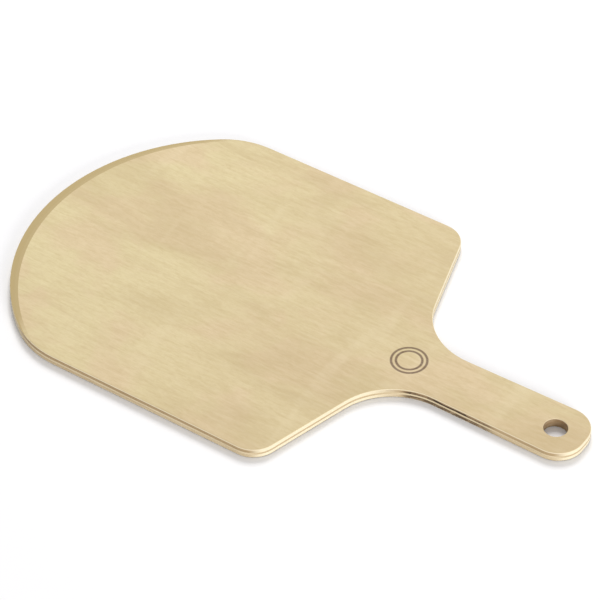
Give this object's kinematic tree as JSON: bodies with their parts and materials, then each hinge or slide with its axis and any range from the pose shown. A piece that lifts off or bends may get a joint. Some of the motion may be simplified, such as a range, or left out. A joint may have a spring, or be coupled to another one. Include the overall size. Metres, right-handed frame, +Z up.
{
  "type": "pizza peel",
  "caption": "Plywood pizza peel with a bevelled front edge, tapering shoulders and a short handle with a hanging hole.",
  "frame": {"origin": "middle of the board's footprint, on its underside", "axes": "+X from the bevelled front edge towards the end of the handle, +Z up through the board's thickness to its top face"},
  "size_m": [0.5, 0.3, 0.0085],
  "materials": {
    "face_veneer": "sanded, unvarnished, birch-like veneer, grain along the peel",
    "crossband": "sanded, birch-like veneer with its grain across the peel",
    "core_veneer": "sanded, birch-like veneer, grain along the peel",
    "glue": "cured resin glue, matt"
  },
  "bodies": {
    "root": {"face_veneer": "face_veneer", "face_glue_line": "glue", "upper_crossband": "crossband", "upper_core_glue_line": "glue", "core_veneer": "core_veneer", "lower_core_glue_line": "glue", "lower_crossband": "crossband", "back_glue_line": "glue", "back_veneer": "face_veneer"}
  },
  "joints": []
}
